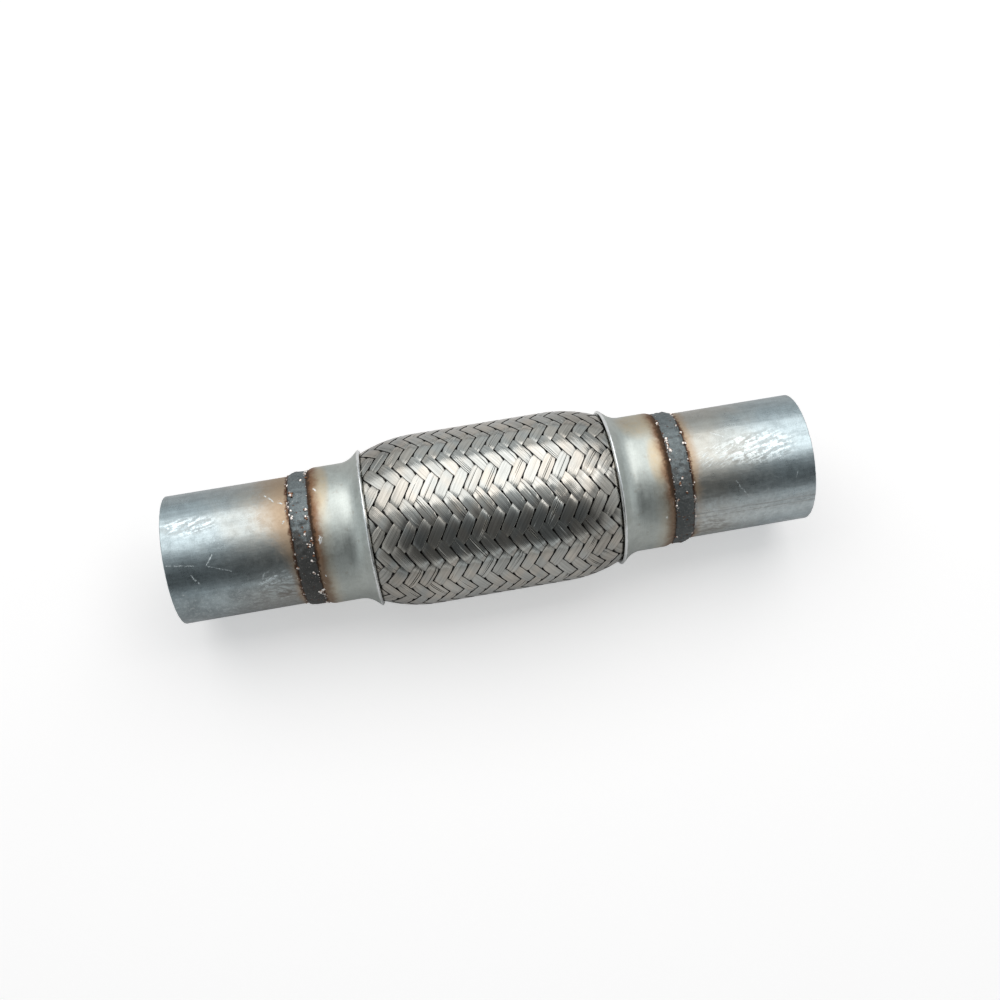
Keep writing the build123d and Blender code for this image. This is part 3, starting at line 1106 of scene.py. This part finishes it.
@dataclass
class WeldBead:
    """The lumpy bead between a pipe and its cap, with drops of spatter along its edges.

    Attributes:
        lump: How high its lumps are.
        edge_wander: How far its edges wander.
        bulge: The power that squares its section; 1 would be a plain arch.
        cap_foot: How far its hidden edge at the cap is set in, and how high it is.
        pipe_foot: How far its hidden edge at the pipe is set in.
        still: How far up from its foot nothing moves.
        pipe_share: The share of the drops on the pipe's side.
        loose_share: The share of the drops outside the clusters.
        drop_width: Half the width of the least drop, and what the greatest has more.
        drop_length: A drop's length against its width, least and most.
        drop_jitter: How far drops scatter about their cluster, in radians.
        blob_scatter: How far a clot's drops scatter along X and round, against its size.
        blob_width: Half a clot's drop's width against the clot's size, least and most.
        blob_length: The length of a clot's drop against its width.
        blobs: The clots: X, angle from +Z towards +Y in degrees, and size.
    """

    end: End
    sizes: Sizes
    finish: WeldScale
    spatter: Spatter
    steps: int = 300
    across: int = 14
    lump: float = 0.42
    edge_wander: float = 0.5
    drops: int = 340
    clusters: int = 26
    bulge: float = 0.6
    cap_foot: Point = (0.4, 0.5)
    pipe_foot: float = 0.2
    still: float = 0.2
    pipe_share: float = 0.55
    loose_share: float = 0.4
    drop_width: Point = (0.12, 0.42)
    drop_length: Point = (1.0, 2.2)
    drop_jitter: float = 0.05
    drops_per_blob: int = 5
    blob_scatter: Point = (0.3, 0.45)
    blob_width: Point = (0.34, 0.58)
    blob_length: float = 1.4
    blobs: tuple[Triple, ...] = ()

    def build(self) -> bpy.types.Object:
        """Models the bead and dresses it.

        Returns:
            The bead's object.
        """
        s = self.sizes
        sign = self.end.value
        cap_side = s.weld_cap_edge
        foot = s.fused_radius
        reach = cap_side - (s.half_flex - s.cap_neck_start)
        radius = s.cap_shoulder_radius
        toe = s.neck_radius - radius + math.sqrt(radius**2 - reach**2)
        crown = s.pipe_radius + s.weld_crown

        def top(t: float) -> float:
            """The bead's radius at a share of its width, from the cap to the pipe."""
            side = toe + (s.pipe_radius - toe) * t
            return side + (crown - side) * math.sin(math.pi * t) ** self.bulge

        line = [(cap_side + self.cap_foot[0], foot + self.cap_foot[1])]
        for i in range(self.across + 1):
            line.append((cap_side + s.weld_width * i / self.across, top(i / self.across)))
        line.append((s.weld_pipe_edge - self.pipe_foot, foot))
        form = Form()
        form.turn(self.end.facing(line), self.steps)
        for vert in form.bm.verts:
            self._roughen(vert)
        self._spatter(form)
        dice = random.Random(73 + sign)
        for x, turn, size in self.blobs:
            t = min(1.0, max(0.0, (x * sign - cap_side) / s.weld_width))
            for _ in range(self.drops_per_blob):
                angle = math.radians(90 - turn) + dice.gauss(0, self.blob_scatter[1] * size) / crown
                place = around(x + dice.gauss(0, self.blob_scatter[0] * size), top(t) + 0.05, angle)
                wide = size * dice.uniform(*self.blob_width)
                shape = (wide * self.blob_length, wide)
                form.spot(place, shape, dice.uniform(0, math.pi), around(0, 1, angle), 1)
        made = form.finish(f"{self.end.label}_weld_bead", self.finish.material(s), crease=60.0)
        made.data.materials.append(self.spatter.material())
        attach(made, self.end.body)
        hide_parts(f"{self.end.label}_weld")
        return made

    def _roughen(self, vert: bmesh.types.BMVert) -> None:
        """Makes the smooth bead lumpy and its edges wander, by moving one vertex; its foot stays."""
        sign = self.end.value
        radius = math.hypot(vert.co.y, vert.co.z)
        if radius < self.sizes.fused_radius + self.still:
            return
        off = (vert.co.x * sign - self.sizes.weld_middle) / (self.sizes.weld_width / 2)
        ring = Vector((sign * 40.0, vert.co.y, vert.co.z))
        wander = noise.noise(ring * 0.35) + 0.6 * noise.noise(ring * 0.9)
        lumps = noise.noise(vert.co * 0.55) + 0.5 * noise.noise(vert.co * 1.3)
        fade = 1 - min(1.0, abs(off)) ** 3
        grow = 1 + lumps * self.lump * fade / radius
        vert.co.x += sign * self.edge_wander * wander * off
        vert.co.y *= grow
        vert.co.z *= grow

    def _spatter(self, form: Form) -> None:
        """Adds drops of metal to the bead's mesh, along both of its edges."""
        s = self.sizes
        dice = random.Random(41 + self.end.value)

        def anywhere() -> tuple[float, bool]:
            """A random angle, and whether it is on the pipe's side."""
            return dice.uniform(0, 2 * math.pi), dice.random() < self.pipe_share

        clusters = [anywhere() for _ in range(self.clusters)]
        for _ in range(self.drops):
            angle, on_pipe = dice.choice(clusters)
            if dice.random() < self.loose_share:
                angle, on_pipe = anywhere()
            angle += dice.gauss(0, self.drop_jitter)
            if on_pipe:
                x, radius = s.weld_pipe_edge + dice.gauss(-0.35, 0.45), s.pipe_radius + 0.1
            else:
                x, radius = s.weld_cap_edge + dice.gauss(0.55, 0.35), s.pipe_radius + 1.0
            wide = self.drop_width[0] + self.drop_width[1] * dice.random() ** 3
            size = (wide * dice.uniform(*self.drop_length), wide)
            place = around(x * self.end.value, radius, angle)
            form.spot(place, size, dice.uniform(0, math.pi), around(0, 1, angle), 1)


@dataclass
class Braid:
    """The woven sleeve: flat bundles of wires, each over two and under two of the others.

    Attributes:
        bundle_angle: A bundle's slant from the pipe's axis at the widest place, in degrees.
        spread: How much wider than its own width a bundle is on top, and narrower underneath.
        pinch: How much a bundle narrows where it passes from over to under.
        pinch_reach: How much of that passage the narrowing takes in.
        swing: How far a bundle drops from over to under.
        hold: How suddenly it drops.
        crown: How far its edges sag below its middle.
        edge_round: The share of that sag which comes only near the edges.
        turn: How far the weave is turned about the axis, in degrees.
        shift: Where the weave's middle column stands along X.
        end_x: How far from the middle the bundles reach.
        strays: At how many places of a bundle its wires part.
        stray_gap: How wide the wires part there, least and most.
        stray_length: How far a gap reaches either way, in columns of the weave.
        wire_flat: Where a wire's flat top starts and ends, against its width.
        slit_depth: How deep the slit between parted wires may be.
    """

    sizes: Sizes
    finish: DrawnWire
    bundles: int = 24
    bundle_angle: float = 58.0
    bundle_width: float = 3.91
    spread: float = 0.16
    pinch: float = 0.6
    pinch_reach: float = 0.3
    wires: int = 8
    wire_height: float = 0.01
    thickness: float = 0.34
    swing: float = 0.46
    hold: float = 3.3
    crown: float = 0.035
    edge_round: float = 0.65
    turn: float = 20.0
    shift: float = 0.6
    end_x: float = 50.0
    steps_per_cell: int = 5
    parts: int = 2
    start_x: float = Sizes.bend_reach
    strays: int = 4
    stray_jitter: float = 0.3
    stray_gap: Point = (0.1, 0.3)
    stray_length: float = 1.2
    wire_flat: Point = (0.14, 0.86)
    wire_rise: float = 0.004
    wire_tilt: float = 0.003
    edge_drop: float = 0.04
    edge_taper: float = 0.93
    groove_shade: float = 0.25
    slit_depth: float = 0.2
    slit_shade: float = 0.75
    slit_rate: float = 7.0
    columns: list[float] = field(init=False)

    def __post_init__(self) -> None:
        """Works out the barrel's arc, the side of a cell, and where each column stands."""
        s = self.sizes
        inside = s.lip_radius - s.cap_wall / math.cos(math.radians(s.cap_flare_turn))
        self.straight = s.lip_x - s.braid_shoulder
        drop = s.braid_radius - (inside - s.braid_mouth_gap)
        self.arc = (s.braid_shoulder**2 + drop**2) / (2 * drop)
        self.row_angle = math.pi / self.bundles
        slant = math.radians(self.bundle_angle)
        self.cell = s.braid_radius * self.row_angle / math.sin(slant)
        self.middle_spacing = 2 * s.braid_radius * self.row_angle * math.cos(slant)
        ways: dict[int, list[float]] = {}
        for way in (-1, 1):
            x, ways[way] = self.shift, []
            while abs(x) < self.end_x + 2 * self.cell:
                ways[way].append(x)
                _, along = self._cell_sides(x)
                slope = max(0.0, abs(x) - self.straight) / self.arc
                x += way * along * math.sqrt(max(0.1, 1 - slope**2))
        self.middle = len(ways[-1]) - 1
        self.columns = list(reversed(ways[-1])) + ways[1][1:]

    def radius(self, x: float) -> float:
        """The radius of the tops of the floats at x."""
        s = self.sizes
        along = max(0.0, abs(x) - self.straight)
        barrel = s.braid_radius - self.arc + math.sqrt(self.arc**2 - along**2)
        neck_x = s.half_flex - s.cap_neck_end
        inner = s.flare_inside
        swing = math.asin(max(-1.0, min(1.0, (neck_x - abs(x)) / inner)))
        if math.degrees(swing) > s.cap_flare_turn:
            return barrel
        under = s.neck_radius + s.cap_flare_radius - inner * math.cos(swing)
        return min(barrel, under - s.braid_mouth_gap)

    def _cell_sides(self, x: float) -> tuple[float, float]:
        """How far a cell's side reaches round the braid, and along it, at x."""
        round_it = self.radius(x) * self.row_angle
        return round_it, math.sqrt(self.cell**2 - round_it**2)

    def column_x(self, column: float) -> float:
        """Where a column of the weave stands along X."""
        place = column + self.middle
        low = max(0, min(len(self.columns) - 2, math.floor(place)))
        return self.columns[low] + (place - low) * (self.columns[low + 1] - self.columns[low])

    def build(self) -> list[bpy.types.Object]:
        """Models every bundle and dresses them.

        Returns:
            The objects, each with a share of the bundles of one winding.
        """
        material = self.finish.material()
        made = []
        for winding in Winding:
            share = self.bundles // self.parts
            for part in range(self.parts):
                form = Form()
                maps = [form.bm.loops.layers.uv.new(kind) for kind in ("wires", "depth")]
                for number in range(part * share, (part + 1) * share):
                    self._bundle(form, maps, winding, number)
                name = f"braid_{winding.name.lower()}_{part + 1}"
                piece = form.finish(name, material, crease=24.0)
                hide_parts("braid")
                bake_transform(piece)
                made.append(piece)
        return made

    def _bundle(self, form: Form, maps: Sequence[Any], winding: Winding, number: int) -> None:
        """Adds one bundle: a grid rolled into a closed ribbon with its wires as ridges.

        Args:
            form: The mesh that it is added to.
            maps: The layers that take the wires' coordinates and their depth, which sets the painted
                shade.
            winding: Which way it climbs.
            number: Its number among those of its winding.
        """
        dice = random.Random(1000 * (winding.value + 2) + number)
        first = -self._columns_to(-self.end_x)
        last = self._columns_to(self.end_x)
        steps = round((last - first) * self.steps_per_cell)
        section = self._section(dice)
        bm = form.bm
        grid = bmesh.ops.create_grid(bm, x_segments=steps, y_segments=len(section), size=0.5)["verts"]
        strays = []
        for _ in range(self.strays):
            at, wire = dice.uniform(first, last), dice.randint(1, self.wires - 3)
            for extra in range(dice.randint(1, 2)):
                column = at + dice.uniform(-self.stray_jitter, self.stray_jitter)
                strays.append((column, wire + extra, dice.uniform(*self.stray_gap)))
        tags: dict[bmesh.types.BMVert, tuple[float, float, float]] = {}
        places: dict[int, list[tuple[Vector, float, float, float]]] = {}
        for vert in grid:
            i = round((vert.co.x + 0.5) * steps)
            j = round((vert.co.y + 0.5) * len(section))
            if i not in places:
                column = first + (last - first) * i / steps
                places[i] = self._ribbon(winding, number, column, section, strays)
            place, *tag = places[i][j % len(section)]
            vert.co = place
            tags[vert] = tuple(tag)
        offset = (number + (self.bundles if winding is Winding.RISING else 0)) * self.finish.stride
        for face in {face for vert in grid for face in vert.link_faces}:
            for loop in face.loops:
                u, v, depth = tags[loop.vert]
                loop[maps[0]].uv = (u, v + offset)
                loop[maps[1]].uv = (depth, 0.0)
        bmesh.ops.remove_doubles(bm, verts=grid, dist=1e-4)

    def _columns_to(self, x: float) -> float:
        """How many columns lie between the middle and x."""
        count = 0
        step = 1 if x > 0 else -1
        while abs(self.column_x(step * (count + 1))) < abs(x):
            count += 1
        return float(count)

    def _section(self, dice: random.Random) -> list[tuple[float, float, int]]:
        """A bundle's section: across from -1 to 1, height in millimetres, and the wire.

        Args:
            dice: Where the wires' unevenness comes from.

        Returns:
            The points of the section, over the wires and back along the flat underside.
        """
        points = []
        pitch = 2.0 / self.wires
        for wire in range(self.wires):
            left = -1.0 + wire * pitch
            rise = dice.uniform(-self.wire_rise, self.wire_rise)
            tilt = dice.uniform(-self.wire_tilt, self.wire_tilt)
            points.append((left, -self.wire_height, wire))
            points.append((left + self.wire_flat[0] * pitch, rise + tilt, wire))
            points.append((left + self.wire_flat[1] * pitch, rise - tilt, wire))
        points.append((1.0, -self.wire_height - self.edge_drop, self.wires - 1))
        points.append((self.edge_taper, -self.thickness, self.wires - 1))
        points.append((-self.edge_taper, -self.thickness, 0))
        return points

    def _ribbon(
        self,
        winding: Winding,
        number: int,
        column: float,
        section: Sequence[tuple[float, float, int]],
        strays: Sequence[tuple[float, int, float]],
    ) -> list[tuple[Vector, float, float, float]]:
        """The points of a bundle's section at one column of its middle line.

        Args:
            winding: Which way it climbs.
            number: Its number among those of its winding.
            column: Where its middle line stands, in columns.
            section: The section's points.
            strays: Where wires part: a column, the wire before the gap, and the gap's width.

        Returns:
            Each point's place, its two coordinates along and across the wires, and its depth, which sets
            how much painted shade it gets.
        """
        row = 2 * number + 1 + winding.value * column
        wave = math.cos((row - 1.5) * math.pi / 2) * -winding.value
        lift = math.tanh(self.hold * wave) / math.tanh(self.hold)
        drop = self.swing * (1 - lift) / 2
        round_it, along = self._cell_sides(self.column_x(column))
        spacing = 2 * round_it * along / self.cell
        stretch = spacing / self.middle_spacing
        width = (self.bundle_width + self.spread * lift) * stretch
        width -= self.pinch * math.exp(-((wave / self.pinch_reach) ** 2)) * stretch**6
        half = width / spacing
        reach = self.stray_length
        gaps = [(wire, gap * math.exp(-(((column - at) / reach) ** 2))) for at, wire, gap in strays]
        spread = sum(gap for _, gap in gaps)
        made = []
        for across, height, wire in section:
            push = sum(gap / 2 if wire > before else -gap / 2 for before, gap in gaps)
            here = (across * width / 2 + push) / (width / 2 + spread / 3)
            # Painted shade: a point is darker the lower it dives under the crossing bundles, darker
            # still in a groove or a slit, and darkest on the underside
            depth = (1 - lift) / 2
            if height == -self.wire_height:
                slit = sum(gap for before, gap in gaps if wire == before + 1)
                height -= min(self.slit_depth, slit)
                depth += self.groove_shade + min(self.slit_shade, self.slit_rate * slit)
            elif height < -self.wire_height:
                depth = 1.0
            half_way = here * half / 2
            x = self.column_x(column - winding.value * half_way)
            angle = math.radians(self.turn) + (row + half_way) * self.row_angle
            sag = self.crown * ((1 - self.edge_round) * across**2 + self.edge_round * across**6)
            place = around(x, self.radius(x) - drop + height - sag, angle)
            made.append((place, column * self.cell, (across + 1) / 2 * self.wires, depth))
        return made


@dataclass
class Bellows:
    """The gas-tight folded tube under the braid."""

    sizes: Sizes
    finish: RolledStainless
    steps: int = 72
    fold_points: int = 8
    fold_square: float = 0.7
    start_x: float = Sizes.bend_reach

    def build(self) -> bpy.types.Object:
        """Models the folds and the cuffs, and dresses them.

        Returns:
            The bellows' object.
        """
        s = self.sizes
        crest = s.braid_radius - s.weave_relief - s.braid_wall - s.bellows_clearance
        root = s.cuff_radius + s.bellows_root_rise
        pitch = 2 * (s.lip_x - s.bellows_end_gap) / (s.bellows_folds + 1)
        start = -s.bellows_folds * pitch / 2
        sleeve = s.sleeve_end
        outer: list[Point] = [(-sleeve, s.cuff_radius), (start - pitch / 2, s.cuff_radius)]
        for i in range(s.bellows_folds * self.fold_points + 1):
            wave = -math.cos(2 * math.pi * i / self.fold_points)
            wave = math.copysign(abs(wave) ** self.fold_square, wave)
            radius = (crest + root) / 2 + (crest - root) / 2 * wave
            outer.append((start + pitch * i / self.fold_points, radius))
        outer += [(-start + pitch / 2, s.cuff_radius), (sleeve, s.cuff_radius)]
        inner = [(x, r - s.bellows_wall) for x, r in reversed(outer)]
        form = Form()
        form.turn([*outer, *inner], self.steps)
        made = form.finish("bellows_folds", self.finish.material(), crease=75.0)
        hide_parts("bellows")
        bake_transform(made)
        return made


@dataclass
class InterlockLiner:
    """The wound strip that guides the gas, hooked edge over edge, with a plain cuff at each end."""

    sizes: Sizes
    finish: RolledStainless
    steps: int = 48
    pitch: float = 5.2
    groove: float = 0.45
    cuff: float = 6.0
    start_x: float = Sizes.bend_reach

    def build(self) -> bpy.types.Object:
        """Models the wound strip and the cuffs, and dresses them.

        Returns:
            The liner's object.
        """
        s = self.sizes
        outside = s.liner_radius
        bore = outside - s.liner_wall
        sleeve = s.sleeve_end
        form = Form()
        run = 2 * (sleeve - self.cuff)
        turns = round(run / self.pitch)
        pitch = run / turns
        start = -run / 2 - pitch / 2
        low, high = bore + self.groove, outside - self.groove
        # Both lines of the strip run over one pitch, with X as a share of it
        inside = [(0.0, bore), (0.72, bore), (0.76, low), (0.96, low), (1.0, bore)]
        out = [(0.0, outside), (0.6, outside), (0.65, high), (0.95, high), (1.0, outside)]
        for line in (inside, out):
            form.turn([(start + pitch * x, r) for x, r in line], self.steps, False, turns, pitch)
        for sign in (-1, 1):
            ring = [(sleeve - self.cuff - pitch, bore), (sleeve, bore), (sleeve, outside)]
            ring += [(sleeve - self.cuff - pitch, outside)]
            form.turn([(sign * x, r) for x, r in ring], self.steps)
        made = form.finish("liner_strip", self.finish.material(), crease=30.0)
        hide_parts("interlock_liner")
        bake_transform(made)
        return made


# Studio


@dataclass(frozen=True)
class Lamp:
    """A soft box that faces the pipe, placed and sized in metres.

    Its glow is how bright its face is; a white wall at strength 1 is 1.
    """

    name: str
    place: Triple
    size: Point
    glow: float

    def hang(self, tint: Colour) -> None:
        """Adds the lamp to the scene, with light of this tint."""
        data = bpy.data.lights.new(self.name, "AREA")
        data.shape = "RECTANGLE"
        data.size, data.size_y = self.size
        data.energy = self.glow * math.pi * self.size[0] * self.size[1]
        data.color = tint
        lamp = into_scene(self.name, data)
        lamp.location = self.place
        aim(lamp, -Vector(self.place))


@dataclass
class Studio:
    """The floor, the lamps, the room that the metal reflects, and the camera."""

    rest_z: float
    floor_size: float = 12.0
    floor_colour: Colour = (0.8, 0.8, 0.8)
    floor_rough: float = 0.9
    floor_glow: float = 0.09
    floor_white: float = 0.45
    lamp_tint: Colour = (1.0, 0.975, 0.962)
    room_tint: Colour = (0.95, 1.0, 1.03)
    room_dark: float = 0.115
    room_pale: float = 0.8
    room_fill: float = 0.22
    dark_way: Triple = (0.0, -0.84, 0.54)
    dark_span: Point = (0.5, 1.0)
    dark_rise: Point = (0.02, 0.22)
    lamps: tuple[Lamp, ...] = (
        Lamp("key", (0.0, 0.404, 0.838), (1.72, 1.02), 1.38),
        Lamp("side", (0.48, -0.1, 0.9), (0.5, 0.26), 1.6),
    )
    camera_place: Triple = (-0.0253, -0.161406, 0.423347)
    camera_turn: float = 10.2012
    camera_fall: float = 68.5461
    lens: float = 42.62
    sensor: float = 36.0
    clip: Point = (0.01, 50.0)

    def build(self) -> None:
        """Sets up the whole studio."""
        self._floor()
        self._room()
        for lamp in self.lamps:
            lamp.hang(self.lamp_tint)
        self._camera()
        bpy.context.scene.view_settings.view_transform = "Standard"

    def _floor(self) -> None:
        """A plain pale floor, a little lighter to the eye than its lamps make it."""
        bm = bmesh.new()
        bmesh.ops.create_grid(bm, x_segments=1, y_segments=1, size=self.floor_size / 2)
        bmesh.ops.translate(bm, verts=bm.verts, vec=(0, 0, self.rest_z))
        mesh = bpy.data.meshes.new("studio_floor")
        bm.to_mesh(mesh)
        bm.free()
        paint = Paint("studio_floor")
        eye, polish, glass = paint.rays()
        glow = (eye * self.floor_white).most(polish.most(glass) * self.floor_glow)
        paint.surface(
            Base_Color=self.floor_colour,
            Roughness=self.floor_rough,
            Specular_IOR_Level=0.0,
            Emission_Color=paint.shade((1.0, 1.0, 1.0), glow),
            Emission_Strength=1.0,
        )
        mesh.materials.append(paint.material)
        floor = into_scene("studio_floor", mesh)
        floor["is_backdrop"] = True

    def _room(self) -> None:
        """A pale room with a dark side before and above the pipe, dimmer as a lamp than to the eye."""
        world = bpy.data.worlds.new("room")
        world.use_nodes = True
        bpy.context.scene.world = world
        room = Tree(world.node_tree)
        room.tree.nodes.clear()
        way = room.node("ShaderNodeTexCoord", output="Generated")
        dot = {"operation": "DOT_PRODUCT"}
        facing = room.node("ShaderNodeVectorMath", dot, {0: way, 1: self.dark_way}, "Value")
        _, _, rise = room.split(way)
        dark = facing.ease(*self.dark_span) * rise.ease(*self.dark_rise)
        tone = room.node("ShaderNodeMapRange", None, {0: dark, 3: self.room_pale, 4: self.room_dark})
        eye, polish, glass = room.rays()
        seen = eye.most(polish).most(glass)
        glow = room.node("ShaderNodeMix", {"data_type": "FLOAT"}, {0: seen, 2: self.room_fill, 3: tone})
        back = room.node("ShaderNodeBackground", None, {"Color": self.room_tint, "Strength": glow})
        out = room.tree.nodes.new("ShaderNodeOutputWorld")
        room.plug(out.inputs[0], back)

    def _camera(self) -> None:
        """The camera at the photograph's place, without roll."""
        turn, fall = math.radians(self.camera_turn), math.radians(self.camera_fall)
        ahead = Vector(
            (math.sin(turn) * math.cos(fall), math.cos(turn) * math.cos(fall), -math.sin(fall))
        )
        data = bpy.data.cameras.new("camera")
        data.sensor_width = self.sensor
        data.lens = self.lens
        data.clip_start, data.clip_end = self.clip
        camera = into_scene("camera", data)
        camera.location = self.camera_place
        aim(camera, ahead)
        bpy.context.scene.camera = camera


# The whole pipe


def mill_steel(end: End) -> MillSteel:
    """The finish of one pipe, with its own tint, seam, scratches and smudges."""
    if end is End.INLET:
        marks = (
            Mark((-111.2, -15.4), (-108.8, -19.2), 0.26, 1.0),
            Mark((-104.9, -12.2), (-102.6, -9.3), 0.26, 1.0),
            Mark((-119.1, -10.4), (-109.6, -11.9), 0.18, 0.8),
            Mark((-104.5, -12.9), (-96.8, -16.1), 0.18, 0.8),
            Mark((-87.9, -23.4), (-81.7, -21.0), 0.85, 1.0),
            Mark((-86.0, -24.6), (-76.5, -22.1), 0.6, 0.7),
            Mark((-86.6, -21.4), (-85.5, -18.9), 0.3, 0.7),
            Mark((-81.7, 11.2), (-78.5, 7.5), 0.22, 0.95),
            Mark((-77.0, 6.8), (-75.6, 5.7), 0.3, 0.95),
            Mark((-115.5, -22.4), (-115.3, -22.4), 0.4, 0.8),
            Mark((-76.0, -1.8), (-75.8, -1.6), 0.45, 0.9),
        )
        return MillSteel(
            end,
            tint_reach=16.0,
            tint_fades=(-1.0, 0.1),
            seam_angle=2.2,
            seam_light=0.0,
            dull=0.5,
            marks=marks,
            scuffs=Patch((-82.0, -21.5), (7.5, 4.5)),
            smudge=Patch((-80.0, -27.5), (11.0, 7.0)),
            polish=Patch((-110.0, 3.0), (14.0, 5.0)),
        )
    marks = (
        Mark((89.6, -6.3), (99.8, -2.9), 0.5, 0.8),
        Mark((91.8, -7.9), (97.4, 0.2), 0.3, 0.7),
        Mark((89.6, -14.3), (94.2, -21.1), 0.2, 0.8),
        Mark((112.1, -16.9), (113.2, -14.5), 0.18, 0.6),
        Mark((84.0, 6.0), (88.5, 3.0), 0.2, 0.5),
        Mark((101.0, -26.0), (101.4, -31.0), 0.16, 0.4),
    )
    return MillSteel(
        end,
        tint_reach=5.0,
        tint_fades=(-2.6, -0.9),
        seam_angle=-1.09,
        seam_light=0.62,
        dull=0.0,
        marks=marks,
        scuffs=Patch((84.0, -4.0), (9.0, 6.0)),
        smudge=Patch((80.0, -34.0), (10.0, 7.0)),
        polish=Patch((100.0, -3.0), (18.0, 8.0)),
    )


def satin_stainless(end: End) -> SatinStainless:
    """The finish of one cap, with its own straw patches and scratches."""
    if end is End.INLET:
        marks = (
            Mark((-63.4, -9.6), (-63.8, -12.0), 0.3, 0.9),
            Mark((-62.9, -10.2), (-63.2, -11.6), 0.2, 0.7),
            Mark((-64.1, -25.1), (-64.0, -24.8), 0.35, 0.9),
            Mark((-63.5, 9.3), (-62.7, 8.3), 0.28, 0.8),
        )
        patches = (Patch((-61.8, 12.0), (4.6, 16.0)),)
        return SatinStainless(end, patches, marks, char=1.7)
    marks = (Mark((62.5, -24.9), (62.6, -24.7), 0.4, 0.9),)
    patches = (Patch((61.8, -2.5), (4.2, 11.0)), Patch((58.0, 18.0), (9.0, 12.0)))
    return SatinStainless(end, patches, marks, char=2.9)


def weld_scale(end: End) -> WeldScale:
    """The finish of one bead; the inlet's has more soot and painted shade on its darker side."""
    return WeldScale(end, soot_and_shade_side=(0.0, -0.45), soot_and_shade_share=0.75 if end is End.INLET else 0.5)


def bead_blobs(end: End) -> tuple[Triple, ...]:
    """Where clots of bright metal sit on one bead: X, angle from +Z towards +Y, and size."""
    if end is End.INLET:
        return (
            (-71.9, 19.9, 1.1),
            (-68.3, 36.6, 0.9),
            (-72.5, 5.1, 0.8),
            (-72.6, -1.6, 1.0),
            (-67.3, 3.7, 0.9),
            (-67.4, -3.6, 1.1),
            (-68.7, -16.4, 1.0),
            (-67.9, -27.0, 0.8),
            (-68.0, -51.4, 0.7),
            (-67.3, -74.6, 0.9),
            (-67.9, -39.8, 0.6),
        )
    return (
        (66.8, 12.7, 1.0),
        (67.0, 8.3, 0.8),
        (67.7, 0.8, 1.3),
        (69.9, -23.2, 0.8),
        (68.9, -28.4, 0.9),
        (70.9, -36.3, 0.6),
        (73.1, 18.0, 0.8),
        (73.2, 7.3, 0.9),
        (72.7, 27.8, 0.6),
    )


def main() -> None:
    """Loads the frame, builds every piece round it, and sets up the studio."""
    logging.basicConfig(level=logging.INFO, format="%(name)s %(message)s")
    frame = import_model()
    cad_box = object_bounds()
    sizes = Sizes()
    log.info("%d nodes in the frame", len(frame["nodes"]))
    for end in End:
        pipe = ExtensionPipe(end, sizes, mill_steel(end))
        cap = EndCap(end, sizes, satin_stainless(end))
        weld = WeldBead(end, sizes, weld_scale(end), Spatter(end), blobs=bead_blobs(end))
        for piece in (pipe, cap, weld):
            log.info("built %s", piece.build().name)
    braid = Braid(sizes, DrawnWire())
    for piece in braid.build():
        log.info("built %s, %d faces", piece.name, len(piece.data.polygons))
    log.info("built %s", Bellows(sizes, RolledStainless("bellows_sheet")).build().name)
    log.info("built %s", InterlockLiner(sizes, RolledStainless("liner_sheet")).build().name)
    Studio(rest_z=cad_box[0].z).build()


if __name__ == "__main__":
    main()
